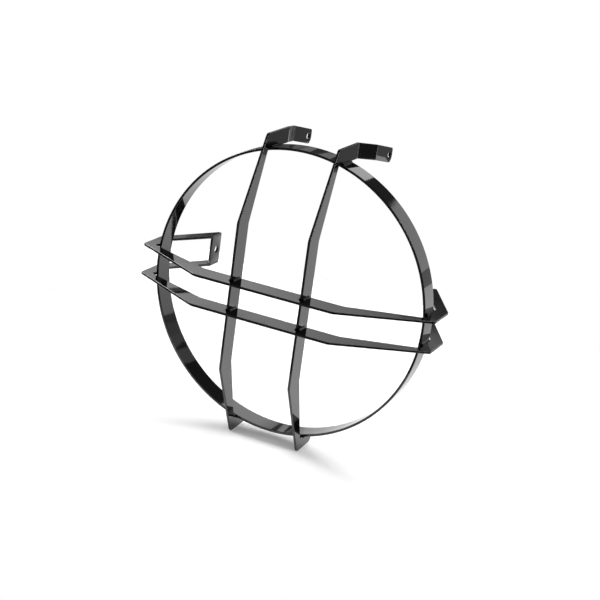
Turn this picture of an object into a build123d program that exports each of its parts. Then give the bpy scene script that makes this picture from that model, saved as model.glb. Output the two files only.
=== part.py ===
"""Welded headlight guard: a rolled hoop, two uprights, two crossbars with side brackets, and two foot plates."""
import os
from math import sqrt

from build123d import *

os.makedirs("parts", exist_ok=True)

# Hoop: a rolled flat strip around the Y axis, its front edge at Y = 0
hoop_radius = 115.0
hoop_width = 18.0
hoop_strip = 2.0

# Uprights: plates that stand in YZ planes and bow forward of the hoop
upright_plate = 2.0
upright_offset = 29.5
upright_front = -39.4
upright_depth = 17.0
upright_straight_front = 59.0
upright_straight_rear = 56.0
upright_tip = -6.5
upright_neck = -4.5
bend_round = 6.0

# Lugs: the top ends of the uprights, joggled outward
lug_height = 12.4
lug_first_fold = 30.5
lug_second_fold = 55.0
lug_end = 89.0
lug_joggle = 6.1
lug_drop = 4.0
lug_end_drop = 11.6
lug_hole_inset = 6.0
fold_round = 4.0
lug_top_round = 2.5
lug_low_round = 5.0

# Tabs: the bottom ends of the uprights, under the hoop
tab_height = 10.8
tab_rise = 1.4
tab_round = 3.0
tab_chamfer = 2.5

# Crossbars: plates that lie in XY planes above and below the middle
bar_plate = 2.0
bar_height = 12.0
bar_front = -45.5
bar_depth = 18.8
bar_straight_front = 58.0
bar_straight_rear = 59.5
bar_neck = -4.0

# Side brackets: the ends of the crossbars, outside the hoop and behind it
wing_overhang = 10.0
wing_tip = -6.2
wing_back = 22.0
wing_round = 1.5
notch_reach = 2.6
notch_peak = -1.2
notch_back = 2.4
arm_corner_overhang = 0.4
arm_corner_gap = 3.0
arm_end = 70.5
arm_lip = 0.8

# Foot plates: vertical plates that join the arms of both crossbars
foot_plate = 2.0
foot_inset = 20.0
foot_width = 15.0
foot_hole_inset = 6.2

# Mounting holes, and the legs of the weld beads
hole_diameter = 6.5
weld_leg = 1.4
weld_bulge = 0.6
weld_margin = 1.0
foot_weld_stop = 3.8

# Fits that follow from the values above
hoop_inner = hoop_radius - hoop_strip
upright_rear = upright_front + upright_depth
upright_outer = upright_offset + upright_plate / 2
seat_height = sqrt(hoop_radius**2 - upright_outer**2)
lug_top = seat_height + lug_height
bar_rear = bar_front + bar_depth
bar_outer = bar_height + bar_plate / 2
bar_inner = bar_height - bar_plate / 2
seat_reach = sqrt(hoop_radius**2 - bar_outer**2)
lap_end = (upright_front + bar_rear) / 2
wing_reach = hoop_radius + wing_overhang
arm_corner_reach = hoop_radius + arm_corner_overhang
arm_corner_back = hoop_width + arm_corner_gap
foot_inner = hoop_radius - foot_inset
foot_outer = foot_inner + foot_plate
foot_front = arm_end - foot_width
sides = (-1, 1)


def clear_hoop():
    """Takes the hoop's own disc out of the part being built, so that it seats on the hoop."""
    with Locations((0, hoop_width / 2, 0)):
        Cylinder(hoop_radius, hoop_width, rotation=(90, 0, 0), mode=Mode.SUBTRACT)


def ease(sketch, point, radius):
    """Rounds the sketch corner nearest to a point."""
    fillet(sketch.vertices().sort_by_distance(point)[0], radius)


def make_hoop():
    """The rolled strip, a plain ring."""
    with BuildPart() as hoop:
        with BuildSketch(Plane.XZ):
            Circle(hoop_radius)
            Circle(hoop_inner, mode=Mode.SUBTRACT)
        extrude(amount=-hoop_width)
    hoop.part.label = "hoop"
    export_step(hoop.part, "parts/hoop.step")


def draw_upright_plan(side):
    """The upright seen from above: straight, then stepped outward along the lug."""
    near = side * upright_offset
    far = side * (upright_offset + lug_joggle)
    with BuildLine() as path:
        FilletPolyline(
            (near, upright_front),
            (near, lug_first_fold),
            (far, lug_second_fold),
            (far, lug_end),
            radius=fold_round,
        )
    trace(path.line, line_width=upright_plate)


def draw_upright_profile(sketch):
    """The upright seen from the side: lug on top, forward bow, tab below."""
    lug_fold_top = lug_top - lug_drop
    lug_end_top = lug_top - lug_end_drop
    lug_fold_low = lug_fold_top - lug_height
    lug_end_low = lug_end_top - lug_height
    tab_low = -seat_height - tab_height
    with BuildLine() as outline:
        Polyline(
            (upright_tip, lug_top),
            (lug_first_fold, lug_top),
            (lug_second_fold, lug_fold_top),
            (lug_end, lug_end_top),
            (lug_end, lug_end_low),
            (lug_second_fold, lug_fold_low),
            (lug_first_fold, seat_height),
            (upright_neck, seat_height),
            (upright_rear, upright_straight_rear),
            (upright_rear, -upright_straight_rear),
            (upright_neck, -seat_height),
            (hoop_width, -seat_height),
            (hoop_width, tab_low + tab_rise),
            (upright_tip, tab_low),
            (upright_front, -upright_straight_front),
            (upright_front, upright_straight_front),
            close=True,
        )
    make_face(outline.edges())
    ease(sketch, (upright_tip, lug_top), tab_round)
    ease(sketch, (lug_end, lug_end_top), lug_top_round)
    ease(sketch, (lug_end, lug_end_low), lug_low_round)
    ease(sketch, (upright_tip, tab_low), tab_round)
    for level in sides:
        ease(sketch, (upright_front, level * upright_straight_front), bend_round)
        ease(sketch, (upright_rear, level * upright_straight_rear), bend_round)
    tab_corner = sketch.vertices().sort_by_distance((hoop_width, tab_low + tab_rise))[0]
    chamfer(tab_corner, tab_chamfer)


def make_upright(name, side):
    """One bowed upright with its lug, its tab, two half-lap slots and the lug's hole."""
    lug_centre = lug_top - lug_end_drop - lug_height / 2
    lug_slope = (lug_end_drop - lug_drop) / (lug_end - lug_second_fold)
    hole_height = lug_centre + lug_slope * lug_hole_inset
    with BuildPart() as upright:
        with BuildSketch(Plane.XY.offset(-hoop_radius - lug_height)):
            draw_upright_plan(side)
        extrude(amount=2 * (hoop_radius + lug_height))
        with BuildSketch(Plane.YZ) as profile:
            draw_upright_profile(profile)
        extrude(amount=hoop_radius, both=True, mode=Mode.INTERSECT)
        clear_hoop()
        for level in sides:
            with Locations((side * upright_offset, upright_front, level * bar_height)):
                Box(2 * upright_plate, 2 * (lap_end - upright_front), bar_plate, mode=Mode.SUBTRACT)
        with BuildSketch(Plane.YZ):
            with Locations((lug_end - lug_hole_inset, hole_height)):
                Circle(hole_diameter / 2)
        extrude(amount=hoop_radius, both=True, mode=Mode.SUBTRACT)
    upright.part.label = name
    export_step(upright.part, f"parts/{name}.step")


def make_crossbar(name, level):
    """One bowed crossbar with a side bracket at each end and a half-lap slot for each upright."""
    half = [
        (bar_straight_front, bar_front),
        (wing_reach, wing_tip),
        (wing_reach, wing_back),
        (foot_outer + arm_lip, arm_end),
        (foot_inner, arm_end),
        (foot_inner, foot_front),
        (arm_corner_reach, arm_corner_back),
        (seat_reach, hoop_width),
        (seat_reach, notch_back),
        (seat_reach + notch_reach, notch_peak),
        (seat_reach, bar_neck),
        (bar_straight_rear, bar_rear),
    ]
    mirrored = [(-x, y) for x, y in reversed(half)]
    with BuildPart() as crossbar:
        with BuildSketch(Plane.XY.offset(level * bar_height)) as outline:
            with BuildLine():
                Polyline(*half, *mirrored, close=True)
            make_face()
            for side in sides:
                ease(outline, (side * wing_reach, wing_tip), wing_round)
                ease(outline, (side * wing_reach, wing_back), wing_round)
                ease(outline, (side * bar_straight_front, bar_front), bend_round)
                ease(outline, (side * bar_straight_rear, bar_rear), bend_round)
        extrude(amount=bar_plate / 2, both=True)
        clear_hoop()
        for side in sides:
            with Locations((side * upright_offset, bar_rear, level * bar_height)):
                Box(upright_plate, 2 * (bar_rear - lap_end), 2 * bar_plate, mode=Mode.SUBTRACT)
    crossbar.part.label = name
    export_step(crossbar.part, f"parts/{name}.step")


def make_foot(name, side):
    """One foot plate between the arms, with its mounting hole."""
    with BuildPart() as foot:
        with BuildSketch(Plane.YZ.offset(side * (foot_inner + foot_plate / 2))):
            with Locations((arm_end - foot_width / 2, 0)):
                Rectangle(foot_width, 2 * bar_inner)
            with Locations((arm_end - foot_hole_inset, 0)):
                Circle(hole_diameter / 2, mode=Mode.SUBTRACT)
        extrude(amount=foot_plate / 2, both=True)
    foot.part.label = name
    export_step(foot.part, f"parts/{name}.step")


def run_bead(corner, along_x, along_z, start, end):
    """One weld bead: a convex fillet in a corner, run along Y between two stations."""
    x, z = corner
    with BuildSketch(Plane.XZ.offset(-end)) as bead:
        with BuildLine():
            Line((x, z), (x + along_x, z))
            crown = (x + weld_bulge * along_x, z + weld_bulge * along_z)
            ThreePointArc((x + along_x, z), crown, (x, z + along_z))
            Line((x, z + along_z), (x, z))
        make_face()
    extrude(bead.sketch, amount=end - start)


def make_crossing_welds():
    """Four beads at each of the four crossings."""
    with BuildPart() as crossing_welds:
        for side in sides:
            for level in sides:
                for right in sides:
                    for up in sides:
                        seam_x = side * upright_offset + right * upright_plate / 2
                        seam_z = level * bar_height + up * bar_plate / 2
                        start = upright_front + weld_margin
                        end = bar_rear - weld_margin
                        run_bead((seam_x, seam_z), right * weld_leg, up * weld_leg, start, end)
    crossing_welds.part.label = "crossing_welds"
    export_step(crossing_welds.part, "parts/crossing_welds.step")


def make_hoop_welds():
    """Beads along the hoop's outer face, beside the uprights and on the wings of the crossbars."""
    with BuildPart() as hoop_welds:
        for side in sides:
            for level in sides:
                for turn in sides:
                    seam_x = side * upright_offset + turn * upright_plate / 2
                    seam_z = level * (sqrt(hoop_radius**2 - seam_x**2) - weld_leg)
                    root = (seam_x, seam_z)
                    run_bead(root, 2 * turn * weld_leg, 2 * level * weld_leg, weld_margin, hoop_width - weld_margin)
                    seam_z = level * bar_height + turn * bar_plate / 2
                    seam_x = side * (sqrt(hoop_radius**2 - seam_z**2) - weld_leg)
                    root = (seam_x, seam_z)
                    run_bead(root, 2 * side * weld_leg, 2 * turn * weld_leg, notch_back, hoop_width - weld_margin)
        clear_hoop()
    hoop_welds.part.label = "hoop_welds"
    export_step(hoop_welds.part, "parts/hoop_welds.step")


def make_foot_welds():
    """One bead at each end of each foot plate, on its outer face."""
    with BuildPart() as foot_welds:
        for side in sides:
            for level in sides:
                root = (side * foot_outer, level * bar_inner)
                start = foot_front + weld_margin
                end = arm_end - foot_weld_stop
                run_bead(root, side * weld_leg, -level * weld_leg, start, end)
    foot_welds.part.label = "foot_welds"
    export_step(foot_welds.part, "parts/foot_welds.step")


make_hoop()
make_upright("left_upright", -1)
make_upright("right_upright", 1)
make_crossbar("upper_crossbar", 1)
make_crossbar("lower_crossbar", -1)
make_foot("left_foot", -1)
make_foot("right_foot", 1)
make_crossing_welds()
make_hoop_welds()
make_foot_welds()
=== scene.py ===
"""Welded steel headlight guard with a gloss black powder coat, on a plain pale studio floor."""
from math import cos, hypot, pi, radians, sin

import bmesh
import bpy
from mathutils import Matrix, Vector


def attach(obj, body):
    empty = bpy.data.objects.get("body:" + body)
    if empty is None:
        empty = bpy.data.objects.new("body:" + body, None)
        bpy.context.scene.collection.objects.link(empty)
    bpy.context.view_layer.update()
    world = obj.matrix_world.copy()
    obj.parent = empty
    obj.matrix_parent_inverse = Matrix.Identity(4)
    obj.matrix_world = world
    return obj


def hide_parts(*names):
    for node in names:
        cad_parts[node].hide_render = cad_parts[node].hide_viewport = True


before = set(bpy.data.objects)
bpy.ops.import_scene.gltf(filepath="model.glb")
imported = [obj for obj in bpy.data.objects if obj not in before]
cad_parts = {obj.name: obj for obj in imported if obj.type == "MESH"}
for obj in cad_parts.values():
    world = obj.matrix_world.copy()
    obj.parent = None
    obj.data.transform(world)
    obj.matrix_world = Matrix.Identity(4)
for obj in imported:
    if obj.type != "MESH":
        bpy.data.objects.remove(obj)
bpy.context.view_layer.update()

# The hoop is a flat mild steel strip, rolled on edge into a ring of 230 mm. Like the
# rest it has a gloss black powder coat, which flows round the cut edges as it melts
# and leaves every edge of the strip softly rounded.
HOOP_RADIUS = 0.115
HOOP_WIDTH = 0.018
STRIP = 0.002
HOOP_STEPS = 288
EDGE_ROUND = 0.0003
ROUND_SEGMENTS = 3
SAME_POINT = 1e-6
PEEL_PITCH = 0.0022
PEEL_HEIGHT = 0.00003
FILM_PATCH = 0.035
DEEPEST_BLACK = "#030303"
LIGHTEST_BLACK = "#060606"
COAT_IOR = 1.55


def paint(hex_text):
    """An sRGB hex colour as the linear RGBA that shader sockets take."""
    parts = [int(hex_text[i : i + 2], 16) / 255 for i in (1, 3, 5)]
    return [c / 12.92 if c <= 0.04045 else ((c + 0.055) / 1.055) ** 2.4 for c in parts] + [1.0]


def add_node(tree, kind, settings=None, links=None, values=None):
    """Adds one node with its settings, its socket values and what feeds its sockets."""
    node = tree.nodes.new(kind)
    for key, value in (settings or {}).items():
        setattr(node, key, value)
    for socket, value in (values or {}).items():
        node.inputs[socket].default_value = value
    for socket, source in (links or {}).items():
        tree.links.new(source, node.inputs[socket])
    return node


def gloss_powder_coat(name, roughness):
    """Gloss black powder coat: sprayed on the steel as powder, and melted in an oven to a plastic skin."""
    # To the eye it is near black, with sharp reflections that waver a little on a faint
    # orange peel about 2 mm across. Tone and gloss drift slightly over patches of 35 mm,
    # because the film isn't equally thick everywhere.
    material = bpy.data.materials.new(name)
    material.use_nodes = True
    tree = material.node_tree
    skin = tree.nodes["Principled BSDF"]
    place = add_node(tree, "ShaderNodeTexCoord").outputs["Object"]
    peel = add_node(
        tree,
        "ShaderNodeTexNoise",
        values={"Scale": 1 / PEEL_PITCH, "Detail": 1.5, "Roughness": 0.4},
        links={"Vector": place},
    )
    film = add_node(
        tree,
        "ShaderNodeTexNoise",
        values={"Scale": 1 / FILM_PATCH, "Detail": 3.0, "Roughness": 0.5},
        links={"Vector": place},
    )
    tone = add_node(tree, "ShaderNodeValToRGB", links={"Fac": film.outputs["Fac"]})
    for stop, position, black in zip(tone.color_ramp.elements, (0.35, 0.65), (DEEPEST_BLACK, LIGHTEST_BLACK)):
        stop.position = position
        stop.color = paint(black)
    haze = add_node(
        tree,
        "ShaderNodeMapRange",
        links={"Value": film.outputs["Fac"]},
        values={"From Min": 0.3, "From Max": 0.7, "To Min": roughness[0], "To Max": roughness[1]},
    )
    bump = add_node(
        tree,
        "ShaderNodeBump",
        values={"Strength": 0.2, "Distance": PEEL_HEIGHT},
        links={"Height": peel.outputs["Fac"]},
    )
    tree.links.new(tone.outputs["Color"], skin.inputs["Base Color"])
    tree.links.new(haze.outputs["Result"], skin.inputs["Roughness"])
    tree.links.new(bump.outputs["Normal"], skin.inputs["Normal"])
    skin.inputs["Metallic"].default_value = 0.0
    skin.inputs["IOR"].default_value = COAT_IOR
    return material


def place_piece(name, shape, material, nodes):
    """Turns a finished bmesh into a piece of the guard that stands for these CAD nodes."""
    mesh = bpy.data.meshes.new(name)
    shape.to_mesh(mesh)
    shape.free()
    mesh.materials.append(material)
    mesh.polygons.foreach_set("use_smooth", [True] * len(mesh.polygons))
    piece = bpy.data.objects.new(name, mesh)
    bpy.context.collection.objects.link(piece)
    even = piece.modifiers.new("even_faces", "WEIGHTED_NORMAL")
    even.keep_sharp = True
    even.weight = 80
    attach(piece, "root")
    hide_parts(*nodes)


coat = gloss_powder_coat("gloss_black_powder_coat_on_steel", roughness=(0.03, 0.07))

ring = bmesh.new()
strip_corners = [
    ring.verts.new((HOOP_RADIUS - inward, back, 0.0))
    for inward, back in ((0.0, 0.0), (0.0, HOOP_WIDTH), (STRIP, HOOP_WIDTH), (STRIP, 0.0))
]
strip_section = ring.faces.new(strip_corners)
bmesh.ops.bevel(
    ring,
    geom=list(strip_section.verts),
    offset=EDGE_ROUND,
    segments=ROUND_SEGMENTS,
    profile=0.5,
    affect="VERTICES",
    material=-1,
)
bmesh.ops.delete(ring, geom=list(ring.faces), context="FACES_ONLY")
bmesh.ops.spin(
    ring,
    geom=list(ring.verts) + list(ring.edges),
    cent=(0.0, 0.0, 0.0),
    axis=(0.0, 1.0, 0.0),
    angle=2 * pi,
    steps=HOOP_STEPS,
    use_merge=True,
)
bmesh.ops.remove_doubles(ring, verts=list(ring.verts), dist=SAME_POINT)
bmesh.ops.recalc_face_normals(ring, faces=list(ring.faces))
place_piece("rolled_hoop", ring, coat, ["hoop"])

# The uprights are cut from 2 mm steel plate and folded at the top into a joggled lug.
# They are slotted half through, so that they lock flush with the crossbars. The laser
# leaves the cut edges square, and the coat rounds them a little.
SMALLEST_FACET = 0.00015
FLAT_WITHIN = radians(0.4)
SHARP_FROM = radians(30)


def soften_plate(node_name, piece_name):
    """A cut plate: the CAD shape with its flat facets joined and its edges rounded as the coat leaves them.

    A face with a drilled hole keeps its square rim. It is the one that still has a joining line in its plane.
    An edge that lies in the joint with the hoop stays square too.
    """
    plate = bmesh.new()
    plate.from_mesh(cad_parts[node_name].data)
    bmesh.ops.remove_doubles(plate, verts=list(plate.verts), dist=SMALLEST_FACET)
    bmesh.ops.dissolve_limit(
        plate, angle_limit=FLAT_WITHIN, verts=list(plate.verts), edges=list(plate.edges), delimit=set()
    )
    seams = [edge for edge in plate.edges if len(edge.link_faces) == 2]
    holed = {face for edge in seams if edge.calc_face_angle() < FLAT_WITHIN for face in edge.link_faces}
    joint = {
        corner
        for corner in plate.verts
        if HOOP_RADIUS - STRIP - EDGE_ROUND < hypot(corner.co.x, corner.co.z) < HOOP_RADIUS + EDGE_ROUND
    }
    sharp = [
        edge
        for edge in seams
        if edge.calc_face_angle() > SHARP_FROM
        and not holed.intersection(edge.link_faces)
        and not joint.issuperset(edge.verts)
    ]
    bmesh.ops.bevel(
        plate,
        geom=sharp,
        offset=EDGE_ROUND,
        segments=ROUND_SEGMENTS,
        profile=0.5,
        affect="EDGES",
        material=-1,
        clamp_overlap=False,
    )
    bmesh.ops.remove_doubles(plate, verts=list(plate.verts), dist=SAME_POINT)
    place_piece(piece_name, plate, coat, [node_name])


soften_plate("left_upright", "left_upright_plate")
soften_plate("right_upright", "right_upright_plate")

# The crossbars are cut from the same plate and slotted the other half through. Each
# reaches past the hoop in a wing at both ends, with an arm that runs back behind it.
soften_plate("upper_crossbar", "upper_crossbar_plate")
soften_plate("lower_crossbar", "lower_crossbar_plate")

# The foot plates stand upright between the arms of the two crossbars, and are welded
# to them. Each is cut from the same 2 mm steel plate and has one drilled hole.
soften_plate("left_foot", "left_foot_plate")
soften_plate("right_foot", "right_foot_plate")

# Short fillet welds hold the crossings, the hoop and the foot plates. The beads are
# laid by hand, with a ripple about every 1.2 mm, and lie under the same black coat.
RIPPLE_PITCH = 0.0012
RIPPLE_HEIGHT = 0.0002
WAVE_BAND = 0.314

# To the eye the beads are as black as the plates, but the ripples break what they
# reflect into short bright flecks. At a scale of 1 the wave's bands lie WAVE_BAND apart.
weld_coat = gloss_powder_coat("gloss_black_powder_coat_on_weld_beads", roughness=(0.05, 0.1))
tree = weld_coat.node_tree
wave = add_node(
    tree,
    "ShaderNodeTexWave",
    settings={"wave_type": "BANDS", "bands_direction": "Y"},
    values={"Scale": WAVE_BAND / RIPPLE_PITCH, "Distortion": 1.2, "Detail": 1.0},
    links={"Vector": add_node(tree, "ShaderNodeTexCoord").outputs["Object"]},
)
skin_normal = tree.nodes["Principled BSDF"].inputs["Normal"]
ripple = add_node(
    tree,
    "ShaderNodeBump",
    values={"Strength": 0.8, "Distance": RIPPLE_HEIGHT},
    links={"Height": wave.outputs["Fac"], "Normal": skin_normal.links[0].from_socket},
)
tree.links.new(ripple.outputs["Normal"], skin_normal)
for node_name in ("crossing_welds", "hoop_welds", "foot_welds"):
    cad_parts[node_name].data.materials[0] = weld_coat

# The table is a plain pale board with a matt white face, and the guard stands on it
# with the tabs of its uprights.
TABLE_LEVEL = -0.1217
TABLE_SIDES = (-0.32, 0.32)
TABLE_BACKS = (-0.22, 0.42)
TABLE_GLOW = 0.14
ROUND_THE_FOUR = ((0, 0), (1, 0), (1, 1), (0, 1))


def stage_sheet(name, corners, material):
    """A plain four-cornered sheet of the studio, which is no part of the guard."""
    shape = bmesh.new()
    shape.faces.new([shape.verts.new(corner) for corner in corners])
    mesh = bpy.data.meshes.new(name)
    shape.to_mesh(mesh)
    shape.free()
    mesh.materials.append(material)
    sheet = bpy.data.objects.new(name, mesh)
    bpy.context.collection.objects.link(sheet)
    return sheet


# A matt white laminate: to the eye it is even, with no gloss and only a soft shadow.
# The small glow, which only the eye and the gloss see, makes it as white as the rest.
pale = bpy.data.materials.new("pale_matt_table")
pale.use_nodes = True
tree = pale.node_tree
matt = tree.nodes["Principled BSDF"]
matt.inputs["Base Color"].default_value = paint("#fcfcfc")
matt.inputs["Roughness"].default_value = 0.9
matt.inputs["Specular IOR Level"].default_value = 0.0
rays = add_node(tree, "ShaderNodeLightPath")
seen = add_node(
    tree,
    "ShaderNodeMath",
    settings={"operation": "MAXIMUM"},
    links={0: rays.outputs["Is Camera Ray"], 1: rays.outputs["Is Glossy Ray"]},
)
lift = add_node(
    tree,
    "ShaderNodeMath",
    settings={"operation": "MULTIPLY"},
    values={1: TABLE_GLOW},
    links={0: seen.outputs[0]},
)
glow = add_node(tree, "ShaderNodeEmission", links={"Strength": lift.outputs[0]})
both = add_node(tree, "ShaderNodeAddShader", links={0: matt.outputs[0], 1: glow.outputs[0]})
tree.links.new(both.outputs[0], tree.nodes["Material Output"].inputs["Surface"])
stage_sheet("table_top", [(TABLE_SIDES[i], TABLE_BACKS[k], TABLE_LEVEL) for i, k in ROUND_THE_FOUR], pale)

# Boards and cards hang round the guard, and only the gloss of its coat sees them. They
# and the dim room between them draw the black and grey bands on the coat. They lean
# as the room in the photograph does, where the guard stands leaning back a little.
LEAN = radians(17.4)
BOARD_LEVEL = -0.121
CARD_DISTANCE = 12.0
DARK_CARD_DISTANCE = 11.5


def leaning(side, back, height):
    """A place in the leaning room, as a place in the guard's own frame."""
    return (side, back * cos(LEAN) - height * sin(LEAN), back * sin(LEAN) + height * cos(LEAN))


def lit_sheet(name, corners, strength, far_strength=None):
    """A lit sheet that only the gloss of the coat sees, even or fading from its first side to the other."""
    lit = bpy.data.materials.new("lit_" + name)
    lit.use_nodes = True
    tree = lit.node_tree
    tree.nodes.remove(tree.nodes["Principled BSDF"])
    glow = add_node(tree, "ShaderNodeEmission", values={"Color": paint("#ffffff"), "Strength": strength})
    if far_strength is not None:
        start, end = Vector(corners[0]), Vector(corners[1])
        along = (end - start).normalized()
        place = add_node(tree, "ShaderNodeTexCoord").outputs["Object"]
        reach = add_node(
            tree,
            "ShaderNodeVectorMath",
            settings={"operation": "DOT_PRODUCT"},
            values={1: along},
            links={0: place},
        )
        fade = add_node(
            tree,
            "ShaderNodeMapRange",
            links={"Value": reach.outputs["Value"]},
            values={
                "From Min": start.dot(along),
                "From Max": end.dot(along),
                "To Min": strength,
                "To Max": far_strength,
            },
        )
        tree.links.new(fade.outputs["Result"], glow.inputs["Strength"])
    tree.links.new(glow.outputs[0], tree.nodes["Material Output"].inputs["Surface"])
    sheet = stage_sheet(name, corners, lit)
    sheet.visible_camera = False
    sheet.visible_diffuse = False
    sheet.visible_shadow = False


def board(name, sides, backs, strength):
    """A flat board that lies on the leaning level of the room, under and behind the guard."""
    corners = [leaning(sides[i], backs[k], BOARD_LEVEL) for i, k in ROUND_THE_FOUR]
    lit_sheet(name, corners, strength)


def card(name, turns, rises, strength, far_strength=None, distance=CARD_DISTANCE):
    """A card round the guard, between two turns from straight back and two rises, in degrees."""
    corners = []
    for i, k in ROUND_THE_FOUR:
        turn, rise = radians(turns[i]), radians(rises[k])
        level = distance * cos(rise)
        corners.append(leaning(level * sin(turn), level * cos(turn), distance * sin(rise)))
    lit_sheet(name, corners, strength, far_strength)


board("white_board_near", (-0.35, 0.30), (0.02, 0.125), 1.3)
board("white_board", (-0.35, 0.20), (0.125, 0.385), 1.05)
board("white_board_right", (0.20, 0.30), (0.125, 0.385), 1.5)
board("grey_board_right", (0.28, 0.40), (0.385, 0.56), 0.5)
board("dim_board", (-1.6, 0.28), (0.385, 2.2), 0.24)

# The cards behind the guard, from the left round to the right.
card("card_far_left", (-60, -24), (1.25, 5.5), 1.05)
card("card_far_left_high", (-60, -24), (5.5, 38), 0.6)
card("card_back_left", (-24, -17.3), (1.25, 5.5), 1.05, 0.5)
card("card_back_left_high", (-24, -17.3), (5.5, 38), 0.65, 1.5)
card("card_back_left_edge", (-17.3, -15.2), (1.9, 5.5), 0.55)
card("card_low_left", (-30, -21.3), (-4.5, -0.6), 0.4)
card("card_low_far_left", (-32, -26.3), (-0.6, 1.25), 0.45)
card("dark_gap", (-25.3, -22.3), (3.5, 6.2), 0.15, distance=DARK_CARD_DISTANCE)
card("dark_gap_right", (18.5, 26.5), (1, 4), 0.1, distance=DARK_CARD_DISTANCE)
card("card_back_middle", (-17.3, -1), (5.5, 38), 1.5, 2.1)
card("card_back_right", (8.5, 20), (-12, 4.8), 1.15)
card("card_back_right_low", (20, 27.5), (-14.6, -1), 1.15)
card("card_right", (20, 36), (-1, 8.5), 0.45)
card("card_far_right", (27.5, 36), (-12, -1), 0.36)
card("card_far_right_low", (30, 42), (-22, -12), 0.8)

# A dim card in front of the guard, and a narrow bright one at each side, which draws
# the fine light lines on the rounded edges.
card("card_front", (-172, -130), (-12, 58), 0.2)
card("strip_left", (-86, -60), (16, 36), 22.0)
card("strip_right", (108, 132), (32, 48), 16.0)

# The room is white to the eye and grey in the gloss. Three soft boxes, one behind and
# one at each side, light the table and leave the guard's soft shadow on it.
ROOM_WHITE = "#ffffff"
ROOM_GREY = "#4c4c4b"
ROOM_LEVEL = 0.3

world = bpy.data.worlds.new("white_studio")
bpy.context.scene.world = world
world.use_nodes = True
tree = world.node_tree
rays = add_node(tree, "ShaderNodeLightPath")
# Inputs 6 and 7 of a colour Mix node are its two colours.
tone = add_node(
    tree,
    "ShaderNodeMix",
    settings={"data_type": "RGBA"},
    values={6: paint(ROOM_WHITE), 7: paint(ROOM_GREY)},
    links={"Factor": rays.outputs["Is Glossy Ray"]},
)
level = add_node(
    tree,
    "ShaderNodeMapRange",
    links={"Value": rays.outputs["Is Diffuse Ray"]},
    values={"To Min": 1.0, "To Max": ROOM_LEVEL},
)
tree.links.new(tone.outputs[2], tree.nodes["Background"].inputs["Color"])
tree.links.new(level.outputs["Result"], tree.nodes["Background"].inputs["Strength"])


def soft_box(name, place, size, energy):
    """A soft box that faces the middle of the guard."""
    data = bpy.data.lights.new(name, "AREA")
    data.shape = "RECTANGLE"
    data.size, data.size_y = size
    data.energy = energy
    lamp = bpy.data.objects.new(name, data)
    lamp.location = place
    lamp.rotation_euler = Vector(place).to_track_quat("Z", "Y").to_euler()
    lamp.visible_camera = False
    lamp.visible_glossy = False
    bpy.context.collection.objects.link(lamp)


soft_box("soft_box_behind", (0.0, 1.4, 1.1), (2.0, 1.0), 30.0)
soft_box("soft_box_left", (-1.3, 0.0, 0.5), (0.9, 0.6), 11.0)
soft_box("soft_box_right", (1.3, 0.0, 0.5), (0.9, 0.6), 11.0)

# The photograph looks down on the guard from the right, through a long lens, and is a
# little tipped to the side.
CAMERA_PLACE = (0.45755, -1.07224, 0.38195)
CAMERA_TURN = (radians(71.583), radians(-7.554), radians(25.050))

camera_data = bpy.data.cameras.new("camera")
camera_data.sensor_width = 36.0
camera_data.lens = 95.04
camera = bpy.data.objects.new("camera", camera_data)
camera.location = CAMERA_PLACE
camera.rotation_euler = CAMERA_TURN
bpy.context.collection.objects.link(camera)
scene = bpy.context.scene
scene.camera = camera
scene.view_settings.view_transform = "Standard"
